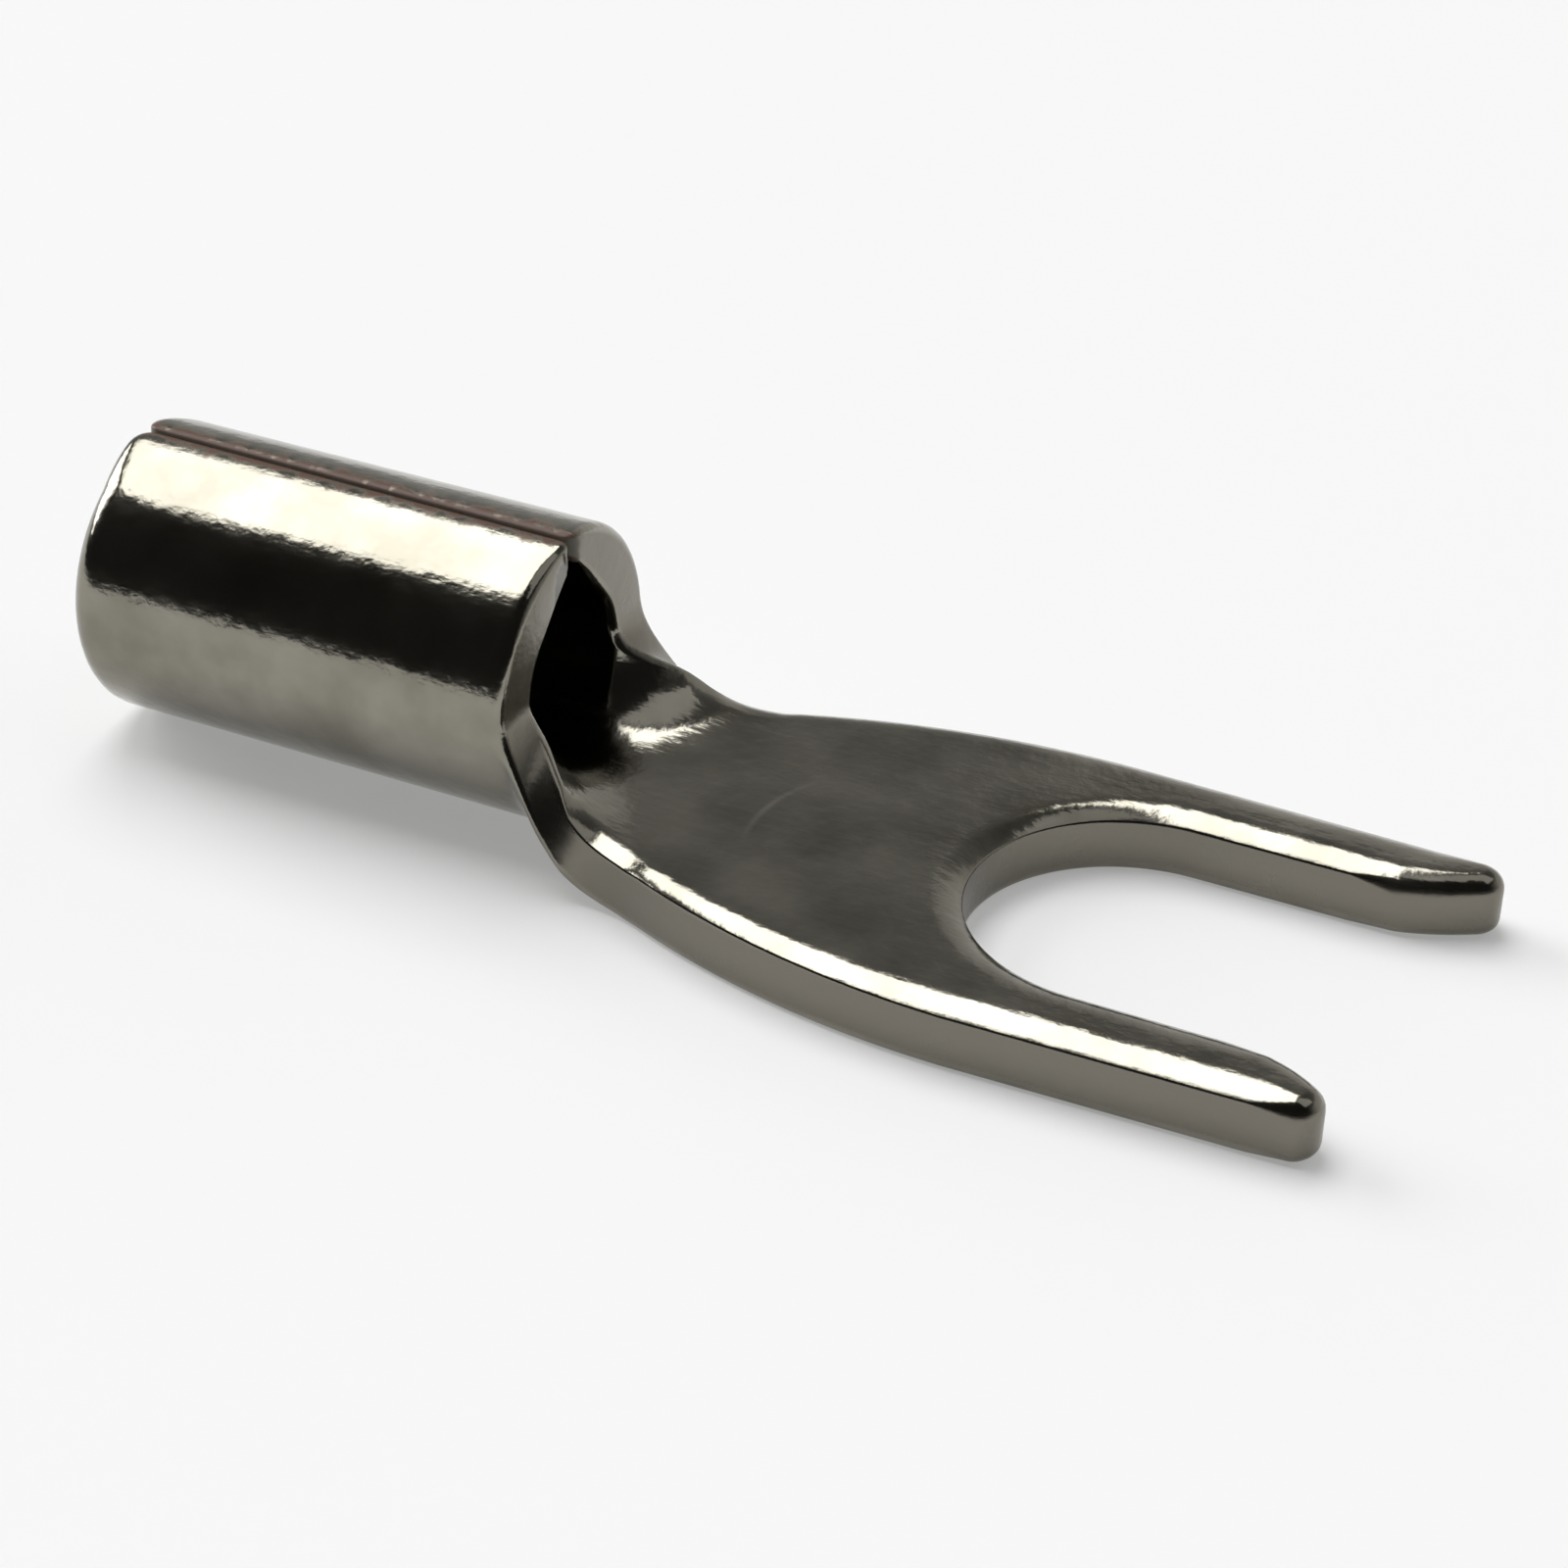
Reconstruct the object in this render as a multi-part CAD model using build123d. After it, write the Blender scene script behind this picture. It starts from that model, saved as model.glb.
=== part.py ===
from build123d import *
import math
import os

# Spade terminal for a 1.25 mm2 wire and an M3.5 screw: one blank of tinned copper sheet, whose rear
# ears are rolled up into the wire barrel and whose flat front is forked to slide under a screw head.
# X runs along the barrel from its wire end to the prongs, Z is up, and Y = 0 is the middle of the
# blank. The pieces are drawn lying on Z = 0 and moved down at the end, so that the origin is the
# middle of the barrel's mouth, where the wire goes in.

# Sheet
sheet = 0.75
edge_round = 0.2

# Rolled barrel
bore_diameter = 1.9
barrel_length = 5.7
seam_gap = 0.08
seam_step = 0.035
lip_height = 0.37
lip_round = 0.1
wire_end_round = 0.22
front_round = 0.15

# Neck, where the ears open out and the sheet turns flat
neck_width = 3.66
neck_length = 1.7
straight_length = 0.85
bend_tail = 0.25
root_round = 0.45

# Forked tongue: its shoulders begin on the neck, and its prongs are set out from the slot's centre
slot_width = 3.7
prong_width = 1.0
prong_taper = 0.1
shoulder_length = 4.95
neck_curve = 2.6
neck_to_slot = 5.14
prong_length = 3.36
lead_in_length = 1.15
lead_in_bulge = 0.1
lead_in_round = 0.15
tip_round = 0.25

# A bend this slight counts as flat
flat_bend = 1e-4

# Worked out from the sizes above
bore_radius = bore_diameter / 2
barrel_radius = bore_radius + sheet
neck_start = barrel_length
neck_end = neck_start + neck_length
tongue_width = slot_width + 2 * prong_width
shoulder_start = neck_start + straight_length
widest_x = shoulder_start + shoulder_length
slot_centre = neck_end + neck_to_slot
tip_corner = slot_centre + prong_length
lead_in_x = tip_corner - lead_in_length
shoulder_rise = (tongue_width - neck_width) / 2
both_curves = (shoulder_length**2 + shoulder_rise**2) / (2 * shoulder_rise)
turn_x = shoulder_start + shoulder_length * neck_curve / both_curves


def rolled_outline():
    """The barrel's skin seen from its end: the far ear's edge stands a step above the near one's."""
    stepped = barrel_radius + seam_step
    far_radius = (stepped**2 + barrel_radius**2) / (2 * barrel_radius)
    shift = far_radius - barrel_radius
    far_angle = math.degrees(math.acos(shift / far_radius))
    near_ear = CenterArc((0, barrel_radius), barrel_radius, 90, 270)
    far_ear = CenterArc((-shift, barrel_radius), far_radius, 0, far_angle)
    return make_face([near_ear, far_ear, Line(far_ear @ 1, near_ear @ 0)])


def barrel_section():
    """The rolled sheet end on: a round bore that rises to a point where the two ears meet."""
    apex = barrel_radius - lip_height
    touch = math.acos(bore_radius / apex)
    half_base = bore_radius * math.sin(touch)
    base_height = barrel_radius + bore_radius * math.cos(touch)
    arch = make_face(
        Polyline(
            (0, barrel_radius + apex),
            (-half_base, base_height),
            (0, barrel_radius),
            (half_base, base_height),
            close=True,
        )
    )
    seam = Pos(0, 2 * barrel_radius) * Rectangle(seam_gap, 2 * apex)
    bore = Pos(0, barrel_radius) * Circle(bore_radius)
    section = rolled_outline() - bore - arch - seam
    lips = [v for v in section.vertices() if v.Y > 2 * barrel_radius - sheet / 4]
    return fillet(lips, lip_round)


def rims(shape, x):
    """The outer edges of the barrel's end at x, apart from the lips of the seam."""
    found = []
    for edge in shape.edges().filter_by(GeomType.CIRCLE):
        at_end = abs((edge @ 0).X - x) < 1e-6 and abs((edge @ 1).X - x) < 1e-6
        if at_end and edge.radius > bore_radius + sheet / 2:
            found.append(edge)
    return found


def band(x, outer_radius, half_width, rounding):
    """The sheet's section across the neck at x: bent to a radius, with rounded cut edges."""
    reach = half_width / (outer_radius - sheet / 2)
    skin = outer_radius - rounding
    floor = outer_radius - sheet + rounding

    def spot(radius, angle):
        return (radius * math.sin(angle), outer_radius - radius * math.cos(angle))

    def corner(centre_radius, side, arc_radius):
        """Where a corner's circle meets the bent face, its middle, and where it meets the cut."""
        angle = side * (reach - math.asin(rounding / centre_radius))
        along = math.sqrt(centre_radius**2 - rounding**2)
        centre = Vector(*spot(centre_radius, angle))
        on_face = Vector(*spot(arc_radius, angle))
        on_cut = Vector(*spot(along, side * reach))
        middle = ((on_face + on_cut) / 2 - centre).normalized() * rounding + centre
        return on_face, middle, on_cut

    right_low, right_low_mid, right_low_cut = corner(skin, 1, outer_radius)
    left_low, left_low_mid, left_low_cut = corner(skin, -1, outer_radius)
    right_top, right_top_mid, right_top_cut = corner(floor, 1, outer_radius - sheet)
    left_top, left_top_mid, left_top_cut = corner(floor, -1, outer_radius - sheet)
    outline = Wire(
        [
            ThreePointArc(left_low, spot(outer_radius, 0), right_low),
            ThreePointArc(right_low, right_low_mid, right_low_cut),
            Line(right_low_cut, right_top_cut),
            ThreePointArc(right_top_cut, right_top_mid, right_top),
            ThreePointArc(right_top, spot(outer_radius - sheet, 0), left_top),
            ThreePointArc(left_top, left_top_mid, left_top_cut),
            Line(left_top_cut, left_low_cut),
            ThreePointArc(left_low_cut, left_low_mid, left_low),
        ]
    )
    return Plane(origin=(x, 0, 0), x_dir=(0, 1, 0), z_dir=(1, 0, 0)) * outline


def half_width(x):
    """Half the blank's width at x: the root's round, the straight neck, and the shoulder's S."""
    before_root = min(max(neck_start + root_round - x, 0), root_round)
    root = root_round - math.sqrt(root_round**2 - before_root**2)
    if x < turn_x:
        past_start = max(x - shoulder_start, 0)
        return neck_width / 2 + root + neck_curve - math.sqrt(neck_curve**2 - past_start**2)
    eye_curve = both_curves - neck_curve
    before_widest = max(widest_x - x, 0)
    return tongue_width / 2 - eye_curve + math.sqrt(eye_curve**2 - before_widest**2)


def neck_section(share):
    """The neck's section at a share of its length: the bend fades out to flat."""
    x = neck_start + share * neck_length
    opening = 3 * share**2 - 2 * share**3
    bent_share = (1 - bend_tail) * (1 - opening) ** 2 + bend_tail * (1 - share)
    bend = max(bent_share / barrel_radius, flat_bend)
    return band(x, 1 / bend, half_width(x), edge_round)


def prong_side(side):
    """One edge of the blank in plan, from the neck round the prong's tip and back to the slot."""
    start = (shoulder_start, side * neck_width / 2)
    turn = (turn_x, side * half_width(turn_x))
    widest = (widest_x, side * tongue_width / 2)
    tip = Vector(tip_corner, side * (tongue_width / 2 - prong_taper))
    lead_in = Vector(lead_in_x, side * slot_width / 2)
    along = (tip - lead_in).normalized()
    outwards = Vector(abs(along.Y), -side * abs(along.X))
    neck_arc = TangentArc(start, turn, tangent=(1, 0))
    return [
        neck_arc,
        TangentArc(turn, widest, tangent=neck_arc % 1),
        Line(widest, tip),
        ThreePointArc(tip, (tip + lead_in) / 2 + outwards * lead_in_bulge, lead_in),
        Line(lead_in, (slot_centre, side * slot_width / 2)),
    ]


# Barrel: the two ears rolled up until their edges meet along the top
barrel = extrude(Plane.YZ * barrel_section(), barrel_length)
barrel = fillet(rims(barrel, 0), wire_end_round)
barrel = fillet(rims(barrel, barrel_length), front_round)

# Tongue: the flat blank, with its lead-ins, prong tips and sheared edges all rounded
slot_end = ThreePointArc(
    (slot_centre, slot_width / 2),
    (slot_centre - slot_width / 2, 0),
    (slot_centre, -slot_width / 2),
)
neck_line = Line((shoulder_start, neck_width / 2), (shoulder_start, -neck_width / 2))
tongue = extrude(make_face(prong_side(1) + prong_side(-1) + [neck_line, slot_end]), sheet)
uprights = tongue.edges().filter_by(Axis.Z)
tongue = fillet([e for e in uprights if abs(e.center().X - tip_corner) < 1e-6], tip_round)
uprights = tongue.edges().filter_by(Axis.Z)
tongue = fillet([e for e in uprights if abs(e.center().X - lead_in_x) < 1e-6], lead_in_round)
outline_edges = [
    edge
    for edge in tongue.edges()
    if abs((edge @ 0).Z - (edge @ 1).Z) < 1e-6 and edge.center().X > shoulder_start + 1e-6
]
tongue = fillet(outline_edges, edge_round)
tongue = split(tongue, Plane.YZ.offset(neck_end), keep=Keep.TOP)

# Neck: the trough that carries the barrel's floor forward into the tongue's rear face
collar = extrude(make_face(neck_section(0)), -2 * front_round)
neck_shares = [0, 0.02, 0.05, 0.09, 0.14, 0.2, 0.27, 0.35, 0.44, 0.54, 0.65, 0.77, 0.89]
neck_faces = [make_face(neck_section(share)) for share in neck_shares]
neck = loft(neck_faces + [tongue.faces().sort_by(Axis.X)[0]], ruled=True)

terminal = Pos(0, 0, -barrel_radius) * (barrel + collar + neck + tongue)
os.makedirs("parts", exist_ok=True)
export_step(terminal, "parts/spade_terminal.step")
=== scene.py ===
import math
import bpy
import numpy
from mathutils import Matrix, Vector
from mathutils.geometry import delaunay_2d_cdt


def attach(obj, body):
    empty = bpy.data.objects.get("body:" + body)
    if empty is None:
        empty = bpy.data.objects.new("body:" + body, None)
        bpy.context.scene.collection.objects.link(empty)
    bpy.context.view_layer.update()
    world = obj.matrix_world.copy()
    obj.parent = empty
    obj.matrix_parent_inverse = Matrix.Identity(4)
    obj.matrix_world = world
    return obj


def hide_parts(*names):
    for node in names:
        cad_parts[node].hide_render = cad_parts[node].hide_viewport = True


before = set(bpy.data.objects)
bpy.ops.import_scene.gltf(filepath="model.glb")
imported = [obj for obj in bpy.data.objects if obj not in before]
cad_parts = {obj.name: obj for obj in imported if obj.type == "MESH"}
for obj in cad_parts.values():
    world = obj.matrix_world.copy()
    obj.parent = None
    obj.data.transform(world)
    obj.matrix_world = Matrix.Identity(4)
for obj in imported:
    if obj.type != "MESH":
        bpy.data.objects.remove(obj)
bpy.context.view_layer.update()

# The blank: one piece of tin-plated copper sheet, sheared to an outline that has two ears at the
# rear and a forked tongue at the front. Shearing and tumbling leave its edges rounded.
mm = 0.001
sheet = 0.75
barrel_radius = 1.7
barrel_length = 5.7
seam_gap = 0.005
rear_corner_round = 0.2
front_corner_round = 0.13
neck_width = 3.66
neck_length = 1.7
straight_length = 0.85
root_round = 0.45
tongue_width = 5.7
tip_width = 5.5
shoulder_length = 4.95
neck_curve = 2.6
slot_width = 3.7
slot_centre = 12.54
tip_end = 15.7
tip_round = 0.29
tip_swell = 0.01
lead_in_x = 14.8
lead_in_lean = 15
lead_in_round = 0.6
prong_skew = 0.22
sheet_middle_radius = barrel_radius - sheet / 2
ear_reach = math.pi * sheet_middle_radius - seam_gap / 2
shoulder_start = barrel_length + straight_length
widest_x = shoulder_start + shoulder_length

# Each edge's rounding: the slow curve down from the upper face, the tight curve into the cut, and
# the round of the lower edge. The upper face is the one inside the barrel. A rounding changes into
# the next over a stretch of edge, measured from the corner or from where the curve begins.
shoulder_turn = math.radians(32)
wire_end_rounds = (0.1, 0.1, 0.32)
corner_rounds = (0.12, 0.12, 0.12)
front_rounds = (0.12, 0.12, 0.15)
tongue_rounds = (0.66, 0.04, 0.1)
neck_rounds = (0.7, 0.04, 0.1)
shoulder_rounds = (0.42, 0.04, 0.1)
tip_rounds = (0.23, 0.23, 0.16)
lead_in_rounds = (0.45, 0.2, 0.14)
rear_change = (0.8, 0.25)
front_change = (0.18, 0.5)
root_change = 0.6
neck_change = 0.2
tip_change = 0.75
lead_in_change = 0.5
lead_in_margin = 3

# How finely the mesh follows the blank: spacings in mm, and steps round the edge's three curves
edge_spacing = 0.07
flat_spacing = 0.12
bend_spacing = 0.045
row_spacing = 0.055
edge_clearance = 0.035
same_point = 1e-3
slow_steps = 5
tight_steps = 4
low_steps = 5


def arc(centre, radius, start, stop, steps, rounds, last_rounds=None):
    """Corners along an arc, its angles in degrees and its edge's rounds changing on the way."""
    found = []
    for step in range(steps + 1):
        share = step / steps
        angle = math.radians(start + (stop - start) * share)
        blend = [a + (b - a) * share for a, b in zip(rounds, last_rounds or rounds)]
        x = centre[0] + radius * math.cos(angle)
        y = centre[1] + radius * math.sin(angle)
        found.append((x, y, 0, blend))
    return found


def half_outline():
    """Corners of the blank's far half: x, y, corner radius, rounds of the edge that leaves it."""
    rise = (tongue_width - neck_width) / 2
    both_curves = (shoulder_length**2 + rise**2) / (2 * rise)
    eye_curve = both_curves - neck_curve
    turn = math.asin(shoulder_length / both_curves)
    corners = [
        (0, 0, 0, wire_end_rounds),
        (0, ear_reach - rear_change[0], 0, wire_end_rounds),
        (0, ear_reach - rear_change[1], 0, corner_rounds),
        (0, ear_reach, rear_corner_round, corner_rounds),
        (barrel_length, ear_reach, front_corner_round, corner_rounds),
        (barrel_length, ear_reach - front_change[0], 0, corner_rounds),
        (barrel_length, ear_reach - front_change[1], 0, front_rounds),
        (barrel_length, neck_width / 2 + root_round + root_change, 0, front_rounds),
        (barrel_length, neck_width / 2, root_round, front_rounds),
        (shoulder_start - neck_change, neck_width / 2, 0, front_rounds),
    ]
    turned = math.degrees(turn)
    neck_centre = (shoulder_start, neck_width / 2 + neck_curve)
    corners += arc(neck_centre, neck_curve, -90, turned - 90, 12, neck_rounds, shoulder_rounds)
    eye_centre = (widest_x, tongue_width / 2 - eye_curve)
    corners += arc(eye_centre, eye_curve, 90 + turned, 90, 16, shoulder_rounds, tongue_rounds)
    tip_centre = Vector((tip_end - tip_round, tip_width / 2 - tip_round))
    lead_in = Vector((lead_in_x, slot_width / 2))
    lean = math.radians(lead_in_lean)
    inner = Vector((-math.sin(lean), math.cos(lean)))
    offset = lead_in - tip_centre
    lead_in_curve = (offset.length_squared - tip_round**2) / -2 / (offset.dot(inner) + tip_round)
    curve_centre = lead_in + inner * lead_in_curve
    meets = math.degrees(math.atan2(*(tip_centre - curve_centre).yx))
    corners.append((tip_end - tip_change, tip_width / 2 + tip_swell, 0, tongue_rounds))
    corners += arc(tip_centre, tip_round, 90, meets, 24, tip_rounds)
    leaves = lead_in_lean - 90 + lead_in_margin
    corners += arc(curve_centre, lead_in_curve, meets, leaves, 8, tip_rounds, lead_in_rounds)
    corners.append((lead_in_x, slot_width / 2, lead_in_round, lead_in_rounds))
    corners.append((lead_in_x - lead_in_change, slot_width / 2, 0, tongue_rounds))
    corners += arc((slot_centre, 0), slot_width / 2, 90, 180, 32, tongue_rounds)
    return corners


def rounded(corners, longest):
    """The corners' path with its corners rounded and no stretch longer than given."""
    rows = []
    for index, (x, y, radius, rounds) in enumerate(corners):
        here = Vector((x, y))
        if radius == 0:
            rows.append((x, y, *rounds))
            continue
        before = (Vector(corners[index - 1][:2]) - here).normalized()
        after = (Vector(corners[index + 1][:2]) - here).normalized()
        turn = math.pi - before.angle(after)
        inset = radius * math.tan(turn / 2)
        centre = here + (before + after).normalized() * radius / math.cos(turn / 2)
        first = here + before * inset - centre
        side = 1 if first.cross(here + after * inset - centre) > 0 else -1
        old_rounds = corners[index - 1][3]
        steps = max(4, round(math.degrees(turn) / 7))
        for step in range(steps + 1):
            share = step / steps
            angle = side * turn * share
            x = first.x * math.cos(angle) - first.y * math.sin(angle) + centre.x
            y = first.x * math.sin(angle) + first.y * math.cos(angle) + centre.y
            blend = [a + (b - a) * share for a, b in zip(old_rounds, rounds)]
            rows.append((x, y, *blend))
    filled = [rows[0]]
    for start, end in zip(rows, rows[1:]):
        span = math.dist(start[:2], end[:2])
        count = math.ceil(span / longest - same_point)
        for step in range(1, count + 1):
            filled.append(tuple(a + (b - a) * step / count for a, b in zip(start, end)))
    return numpy.array(filled)


half = rounded(half_outline(), edge_spacing)
other_half = half[-2:0:-1] * [1, -1, 1, 1, 1]
outline = numpy.concatenate([half, other_half])

# The blank is sheared a little askew, which leaves the far prong longer than the near one
along_prong = ((outline[:, 0] - slot_centre) / (tip_end - slot_centre)).clip(0, 1)
outline[:, 0] += prong_skew * along_prong**2 * outline[:, 1] / (tongue_width / 2)
ahead = numpy.roll(outline[:, :2], -1, axis=0) - numpy.roll(outline[:, :2], 1, axis=0)
ahead /= numpy.linalg.norm(ahead, axis=1)[:, None]
inwards = numpy.stack([ahead[:, 1], -ahead[:, 0]], axis=1)

# Rings round the blank: down its rounded upper edge, its wall and its rounded lower edge
rings = []
slow, tight, low = outline[:, 2:].T
for step in range(slow_steps + tight_steps + 1):
    early = shoulder_turn * min(step, slow_steps) / slow_steps
    late = shoulder_turn + (math.pi / 2 - shoulder_turn) * max(step - slow_steps, 0) / tight_steps
    inset = slow * (math.sin(shoulder_turn) - math.sin(early)) + tight * (1 - math.sin(late))
    drop = slow * (1 - math.cos(early)) + tight * (math.cos(shoulder_turn) - math.cos(late))
    rings.append((outline[:, :2] + inwards * inset[:, None], sheet / 2 - drop))
for step in range(low_steps + 1):
    angle = math.pi / 2 * (1 - step / low_steps)
    inset = low * (1 - math.sin(angle))
    rise = low * (1 - math.cos(angle))
    rings.append((outline[:, :2] + inwards * inset[:, None], rise - sheet / 2))

points = [numpy.column_stack([plan, height]) for plan, height in rings]
around = len(outline)
faces = []
for ring in range(len(rings) - 1):
    this_ring = ring * around
    next_ring = this_ring + around
    for spot in range(around):
        after = (spot + 1) % around
        faces.append((this_ring + spot, this_ring + after, next_ring + after, next_ring + spot))


def lattice(plan):
    """Points inside a ring, closer together where the sheet is rolled."""
    bend_start = barrel_length + 0.02
    flat_start = barrel_length + neck_length + 0.15
    columns = list(numpy.arange(0.1, barrel_length, flat_spacing))
    columns += list(numpy.arange(bend_start, flat_start - bend_spacing, bend_spacing))
    columns += list(numpy.arange(flat_start, tip_end, flat_spacing))
    rows = numpy.arange(-ear_reach, ear_reach, row_spacing)
    grid = numpy.array([(x, y) for x in columns for y in rows])
    inside = numpy.zeros(len(grid), dtype=bool)
    for (x1, y1), (x2, y2) in zip(plan, numpy.roll(plan, -1, axis=0)):
        crosses = (grid[:, 1] < y1) != (grid[:, 1] < y2)
        if y1 != y2:
            inside ^= crosses & (grid[:, 0] < x1 + (grid[:, 1] - y1) * (x2 - x1) / (y2 - y1))
    grid = grid[inside]
    clear = [numpy.min(numpy.hypot(*(plan - spot).T)) > edge_clearance for spot in grid]
    return grid[clear]


def fill(ring, faces_up):
    """Close a ring with small triangles over a lattice."""
    plan, height = rings[ring]
    inner = lattice(plan)
    spots = [Vector(spot) for spot in numpy.concatenate([plan, inner])]
    found = delaunay_2d_cdt(spots, [], [list(range(around))], 1, 1e-7)
    start = sum(len(block) for block in points)
    points.append(numpy.column_stack([inner, numpy.full(len(inner), height[0])]))
    origins = [group[0] for group in found[3]]
    for triangle in found[2]:
        a, b, c = [Vector(found[0][corner]) for corner in triangle]
        ids = [origins[corner] for corner in triangle]
        ids = [ring * around + i if i < around else start + i - around for i in ids]
        counter_clockwise = (b - a).cross(c - a) > 0
        faces.append(ids if counter_clockwise == faces_up else ids[::-1])


fill(0, True)
fill(len(rings) - 1, False)
flat = numpy.concatenate(points)
blank_mesh = bpy.data.meshes.new("blank")
blank_mesh.from_pydata((flat * mm).tolist(), [], faces)
place = blank_mesh.attributes.new("blank", "FLOAT_VECTOR", "POINT")
place.data.foreach_set("vector", flat.ravel())
blank = bpy.data.objects.new("blank", blank_mesh)
bpy.context.scene.collection.objects.link(blank)


class Value:
    """A node's output that sums can be written with; each sum adds its Math node."""

    def __init__(self, tree, socket):
        self.tree = tree
        self.socket = socket

    def math(self, operation, *others):
        inputs = dict(enumerate((self, *others)))
        return node(self.tree, "ShaderNodeMath", {"operation": operation}, inputs)

    def within(self, lowest, highest):
        return self.math("MAXIMUM", lowest).math("MINIMUM", highest)

    def __add__(self, other):
        return self.math("ADD", other)

    def __sub__(self, other):
        return self.math("SUBTRACT", other)

    def __mul__(self, other):
        return self.math("MULTIPLY", other)

    def __truediv__(self, other):
        return self.math("DIVIDE", other)

    def __rsub__(self, other):
        return (self * -1) + other

    def __rtruediv__(self, other):
        return self.math("POWER", -1) * other

    __radd__ = __add__
    __rmul__ = __mul__


def node(tree, kind, settings=None, inputs=None, output=0):
    """Add a node: its settings first, then values or links on its sockets."""
    made = tree.nodes.new(kind)
    for name, value in (settings or {}).items():
        if name == "stops":
            while len(made.color_ramp.elements) < len(value):
                made.color_ramp.elements.new(0.5)
            for stop, (position, colour) in zip(made.color_ramp.elements, value):
                stop.position = position
                stop.color = colour
        else:
            setattr(made, name, value)
    for name, value in (inputs or {}).items():
        if isinstance(value, Value):
            tree.links.new(value.socket, made.inputs[name])
        else:
            made.inputs[name].default_value = value
    return Value(tree, made.outputs[output])


# Rolling: the ears are curled up on a mandrel until their edges meet over the bore, and the bend
# fades out along the neck. One ear ends a little higher than the other, and the seam runs askew.
roll = bpy.data.node_groups.new("roll_blank", "GeometryNodeTree")
roll.interface.new_socket("Blank", in_out="INPUT", socket_type="NodeSocketGeometry")
roll_sizes = {
    "Barrel Radius": barrel_radius * mm,
    "Barrel Length": barrel_length * mm,
    "Neck Length": neck_length * mm,
    "Bend Tail": 0.25,
    "Sheet": sheet * mm,
    "Ear Reach": ear_reach * mm,
    "Seam Step": 0.035 * mm,
    "Lip Thinning": 0.48 * mm,
    "Thinned Width": 1.13 * mm,
    "Thinning Curve": 2.3,
    "Seam Drift": 0.08 * mm,
    "Unmoved Share": 0.3,
    "Least Bend": 0.1,
}
for name in roll_sizes:
    roll.interface.new_socket(name, in_out="INPUT", socket_type="NodeSocketFloat")
roll.interface.new_socket("Terminal", in_out="OUTPUT", socket_type="NodeSocketGeometry")
given = roll.nodes.new("NodeGroupInput")
size = {socket.name: Value(roll, socket) for socket in given.outputs if socket.name}
place = node(roll, "GeometryNodeInputPosition")
xyz = node(roll, "ShaderNodeSeparateXYZ", {}, {0: place}).socket.node
x, y, z_cut = [Value(roll, socket) for socket in xyz.outputs]
from_ear = (size["Ear Reach"] - y.math("ABSOLUTE")) / size["Thinned Width"]
thinning = (1 - from_ear).math("MAXIMUM", 0).math("POWER", size["Thinning Curve"]) * size["Lip Thinning"]
from_skin = z_cut + size["Sheet"] / 2
z = z_cut - from_skin / size["Sheet"] * thinning
share = ((x - size["Barrel Length"]) / size["Neck Length"]).within(0, 1)
opening = share * share * (3 - share * 2)
closed = 1 - opening
fade = closed * closed * (1 - size["Bend Tail"]) + (1 - share) * size["Bend Tail"]
bend = (fade / size["Barrel Radius"]).math("MAXIMUM", size["Least Bend"])
skin = 1 / bend
middle = skin - size["Sheet"] / 2
edgeward = y.math("ABSOLUTE") / size["Ear Reach"]
along = x / size["Barrel Length"] - size["Unmoved Share"]
askew = (size["Barrel Length"] - x).math("GREATER_THAN", 0) * along * edgeward * edgeward * edgeward
angle = (y + size["Seam Drift"] * askew) / middle
lifted = (angle - math.pi / 2).math("MAXIMUM", 0)
lift = size["Seam Step"] * (1 - lifted.math("COSINE"))
half_sine = (angle / 2).math("SINE")
across = (middle - z + lift) * angle.math("SINE")
up = skin * half_sine * half_sine * 2 + (size["Sheet"] / 2 + z - lift) * angle.math("COSINE")
rolled = node(roll, "ShaderNodeCombineXYZ", {}, {0: x, 1: across, 2: up - size["Barrel Radius"]})
moved = node(roll, "GeometryNodeSetPosition", {}, {"Geometry": size["Blank"], "Position": rolled})
smooth = node(roll, "GeometryNodeSetShadeSmooth", {}, {"Geometry": moved, "Shade Smooth": True})
whole = node(roll, "GeometryNodeRealizeInstances", {}, {"Geometry": smooth})
plating = bpy.data.materials.new("tin_plate")
dressed = node(roll, "GeometryNodeSetMaterial", {}, {"Geometry": whole, "Material": plating})
given_back = roll.nodes.new("NodeGroupOutput")
roll.links.new(dressed.socket, given_back.inputs[0])

rolling = blank.modifiers.new("roll", "NODES")
rolling.node_group = roll
for item in roll.interface.items_tree:
    if item.in_out == "INPUT" and item.name in roll_sizes:
        rolling[item.identifier] = roll_sizes[item.name]
depsgraph = bpy.context.evaluated_depsgraph_get()
terminal_mesh = bpy.data.meshes.new_from_object(blank.evaluated_get(depsgraph), depsgraph=depsgraph)
terminal_mesh.name = "terminal"
bpy.data.objects.remove(blank)
terminal = bpy.data.objects.new("terminal", terminal_mesh)
bpy.context.scene.collection.objects.link(terminal)

# Tin plate: the bright, slightly warm coat that the sheet is plated with, over its sheared edges too.
# It has a fine grain, hairlines and shallow pits from tumbling, and one scratch on the tongue. The cut
# walls are painted darker, as painted shade for the dim floor that they mirror. Along the seam a dark
# brown band is painted: partly copper showing through, partly painted shade of the gap between the
# ears. Lengths on the blank are in mm.
tin_dark = (0.2, 0.19, 0.155, 1)
tin_light = (0.285, 0.272, 0.23, 1)
# painted shade: the cut walls' tin is painted darker than the faces, for the dim floor that they mirror
shaded_cut_tin = (0.2, 0.187, 0.157, 1)
scratched_tin = (0.42, 0.4, 0.35, 1)
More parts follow.
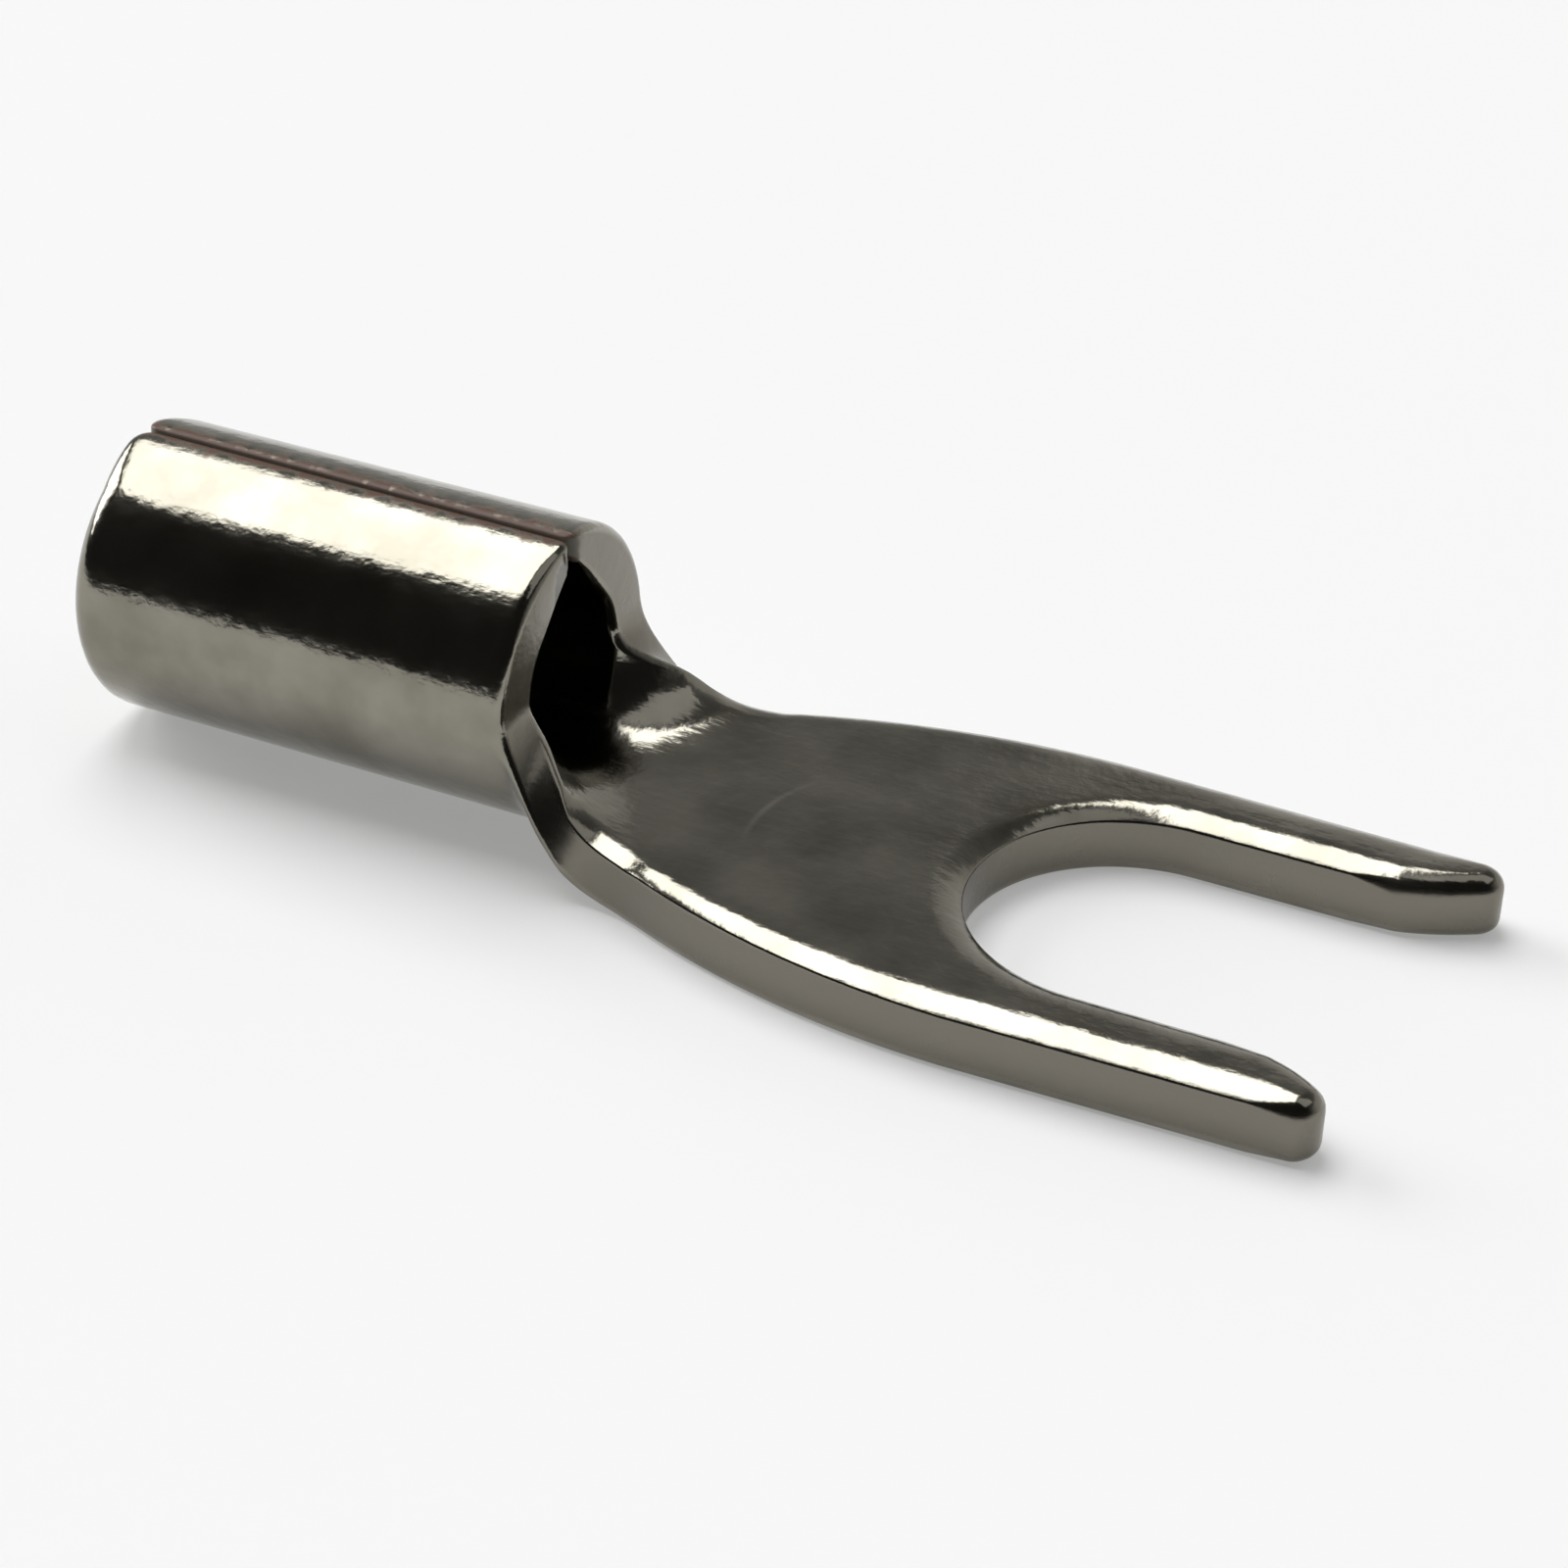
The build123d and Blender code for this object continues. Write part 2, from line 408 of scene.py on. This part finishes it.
# painted shade: the seam band's dark brown is partly copper showing through, partly painted shade of the
# gap between the ears
copper_and_seam_shade = (0.11, 0.066, 0.048, 1)
cloud_scale = 900.0
grain_scale = 5200.0
wave_scale = 1500.0
pit_scale = 620.0
hairline_turn = 0.4
hairline_stretch = (0.35, 22, 4)
streak_stretch = (2.2, 9, 4)
bump_depth = 0.000006
seam_band_width = 0.16
seam_band_fade = 0.1
cut_half_height = 0.3
cut_fade = 0.0625
scratch_centre = (10.18, -0.33)
scratch_radius = 1.98
scratch_width = 0.06
scratch_middle = -0.1
scratch_end_x = 9


def noise(place, scale, detail):
    """A noise pattern's value, about 0.5 on the mean."""
    inputs = {"Vector": place, "Scale": scale, "Detail": detail}
    return node(place.tree, "ShaderNodeTexNoise", {}, inputs)


def blend_colours(share, first, second):
    """The first colour, turning into the second as the share goes from 0 to 1."""
    inputs = {0: share, 6: first, 7: second}
    return node(share.tree, "ShaderNodeMix", {"data_type": "RGBA"}, inputs, 2)


plating.use_nodes = True
tree = plating.node_tree
shader = tree.nodes["Principled BSDF"]
blank_place = node(tree, "ShaderNodeAttribute", {"attribute_name": "blank"}, {}, 1)
object_place = node(tree, "ShaderNodeTexCoord", {}, {}, 3)
apart = node(tree, "ShaderNodeSeparateXYZ", {}, {0: blank_place}).socket.node
along_blank, across_blank, through_blank = [Value(tree, socket) for socket in apart.outputs]

cloud = noise(object_place, cloud_scale, 4.0)
grain = noise(object_place, grain_scale, 5.0)
waves = noise(object_place, wave_scale, 1.0)
hair_inputs = {"Vector": blank_place, "Rotation": (0, 0, hairline_turn), "Scale": hairline_stretch}
hair = noise(node(tree, "ShaderNodeMapping", {}, hair_inputs), 1.0, 3.0)
hairline = ((hair - 0.62) * 12).within(0, 1)
streak_inputs = {"Vector": blank_place, "Scale": streak_stretch}
streaks = noise(node(tree, "ShaderNodeMapping", {}, streak_inputs), 1.0, 2.0)
cells = node(tree, "ShaderNodeTexVoronoi", {}, {"Vector": object_place, "Scale": pit_scale})
pit = (1 - cells * 16).math("MAXIMUM", 0)
height = grain * 1.1 + waves * 0.9 + streaks * 0.5 - hairline * 0.03 - pit * 0.6
bump = node(tree, "ShaderNodeBump", {}, {"Strength": 1.0, "Distance": bump_depth, "Height": height})

scratch_x = along_blank - scratch_centre[0]
scratch_y = across_blank - scratch_centre[1]
from_centre = (scratch_x * scratch_x + scratch_y * scratch_y).math("SQRT")
from_scratch = (from_centre - scratch_radius).math("ABSOLUTE")
on_scratch = (1 - from_scratch / scratch_width).math("MAXIMUM", 0)
fading = (0.795 - (across_blank - scratch_middle).math("ABSOLUTE") * 0.9).math("MAXIMUM", 0)
scratch = on_scratch * fading * (scratch_end_x - along_blank).math("GREATER_THAN", 0)

# the seam band's mask, with a ragged edge: partly bare copper, partly painted shade of the gap
from_seam = ear_reach - across_blank.math("ABSOLUTE")
ragged = (grain - 0.5) * 0.42
seam_copper_and_shade = ((seam_band_width + ragged - from_seam) / seam_band_fade).within(0, 1)
# the cut walls' mask: it paints their shade and makes them rougher
shaded_cut_wall = ((cut_half_height - through_blank.math("ABSOLUTE")) / cut_fade).within(0, 1)

tint = node(tree, "ShaderNodeValToRGB", {"stops": [(0.35, tin_dark), (0.65, tin_light)]}, {"Fac": cloud})
scratched = blend_colours(scratch, tint, scratched_tin)
seam_shaded_colour = blend_colours(seam_copper_and_shade, scratched, copper_and_seam_shade)
# painted shade on the cut walls, laid over the tin's own tint, scratch and seam band
colour = blend_colours(shaded_cut_wall, seam_shaded_colour, shaded_cut_tin)
rough = 0.09 + cloud * 0.1 + seam_copper_and_shade * 0.2 + shaded_cut_wall * 0.14
metal = 1 - seam_copper_and_shade
tree.links.new(colour.socket, shader.inputs["Base Color"])
tree.links.new(rough.socket, shader.inputs["Roughness"])
tree.links.new(metal.socket, shader.inputs["Metallic"])
tree.links.new(bump.socket, shader.inputs["Normal"])
shader.inputs["Specular IOR Level"].default_value = 0.15

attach(terminal, "root")
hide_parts("spade_terminal")

# Floor: a sheet of white card that the terminal lies on. It glows a little to the camera and in
# mirrored light, so that it reads as white, and it still takes the terminal's shadow.
floor_mesh = bpy.data.meshes.new("floor")
reach = 4.0
level = -barrel_radius * mm
floor_corners = [(-reach, -reach), (reach, -reach), (reach, reach), (-reach, reach)]
floor_mesh.from_pydata([(x, y, level) for x, y in floor_corners], [], [(0, 1, 2, 3)])
floor = bpy.data.objects.new("floor", floor_mesh)
bpy.context.scene.collection.objects.link(floor)
card = bpy.data.materials.new("white_card")
card.use_nodes = True
paper = card.node_tree
paper_shader = paper.nodes["Principled BSDF"]
paper_shader.inputs["Base Color"].default_value = (0.88, 0.88, 0.88, 1)
paper_shader.inputs["Roughness"].default_value = 0.9
paper_shader.inputs["Specular IOR Level"].default_value = 0.1
path = paper.nodes.new("ShaderNodeLightPath")
ray_names = ("Is Camera Ray", "Is Glossy Ray", "Is Transmission Ray")
rays = [Value(paper, path.outputs[name]) for name in ray_names]
seen = sum(rays[1:], rays[0]).math("MINIMUM", 1)
glow_share = 0.3
white = node(paper, "ShaderNodeEmission", {}, {"Color": (1, 1, 1, 1), "Strength": 1.0})
lit = Value(paper, paper_shader.outputs[0])
mixed = node(paper, "ShaderNodeMixShader", {}, {0: seen * glow_share, 1: lit, 2: white})
paper.links.new(mixed.socket, paper.nodes["Material Output"].inputs[0])
floor_mesh.materials.append(card)

# Light: a large soft box overhead and behind, another low on the left, a weak one on the right, and
# a room that is dim behind the terminal and dark on the camera's side
world = bpy.data.worlds.new("room")
bpy.context.scene.world = world
world.use_nodes = True
room = world.node_tree
looking = node(room, "ShaderNodeTexCoord", {}, {}, 0)
apart = node(room, "ShaderNodeSeparateXYZ", {}, {0: looking}).socket.node
to_right, to_back, upwards = [Value(room, socket) for socket in apart.outputs]
behind = ((to_back + 0.1) * 1.6).within(0, 1)
height = upwards.math("MAXIMUM", 0)
to_prongs = ((to_right + 0.31) * 20).within(0, 1)
low_down = ((0.545 - height) * 30).within(0, 1)
glow = 0.02 + behind * (0.48 - height * 0.5 + to_prongs * low_down * 0.22)
room.links.new(glow.socket, room.nodes["Background"].inputs["Strength"])
room.nodes["Background"].inputs["Color"].default_value = (1, 0.99, 0.97, 1)
lamp_distance = 5


def soft_box(name, towards, wide, deep, radiance):
    """A rectangular lamp in the given direction, as bright all over as given."""
    light = bpy.data.lights.new(name, "AREA")
    light.shape = "RECTANGLE"
    light.size = wide
    light.size_y = deep
    light.energy = radiance * math.pi * wide * deep
    holder = bpy.data.objects.new(name, light)
    bpy.context.scene.collection.objects.link(holder)
    towards = Vector(towards).normalized()
    depth = towards.cross(Vector((1, 0, 0))).normalized()
    turned = Matrix((depth.cross(towards), depth, towards)).transposed().to_4x4()
    holder.matrix_world = Matrix.Translation(towards * lamp_distance) @ turned


soft_box("overhead_box", (-0.38, 0.235, 0.9), 2.8, 4.6, 5.0)
soft_box("left_box", (-0.9, 0.15, 0.4), 3, 3, 6)
soft_box("right_box", (0.35, 0.2, 0.91), 4, 3, 0.6)

# Camera: above and in front of the prongs' near side, turned, raised and tilted until the
# terminal's outline falls on the photograph's. Its focal length is in pixels of that picture.
picture_width = 1600
focal_length = 3801.1
camera_distance = 41.22
camera = bpy.data.cameras.new("camera")
camera.sensor_width = 36
camera.lens = focal_length / picture_width * camera.sensor_width
camera.clip_start = 0.001
camera_object = bpy.data.objects.new("camera", camera)
bpy.context.scene.collection.objects.link(camera_object)
turn = math.radians(24.898)
rise = math.radians(30.705)
tilt = math.radians(2.091)
right = Vector((math.cos(turn), math.sin(turn), 0))
back = Vector((math.sin(turn) * math.cos(rise), -math.cos(turn) * math.cos(rise), math.sin(rise)))
above = back.cross(right)
tilted_right = right * math.cos(tilt) + above * math.sin(tilt)
tilted_above = above * math.cos(tilt) - right * math.sin(tilt)
target = Vector((8.340, 0, -0.684)) * mm
basis = Matrix((tilted_right, tilted_above, back)).transposed().to_4x4()
camera_object.matrix_world = Matrix.Translation(target + back * camera_distance * mm) @ basis
bpy.context.scene.camera = camera_object
bpy.context.scene.view_settings.view_transform = "Standard"
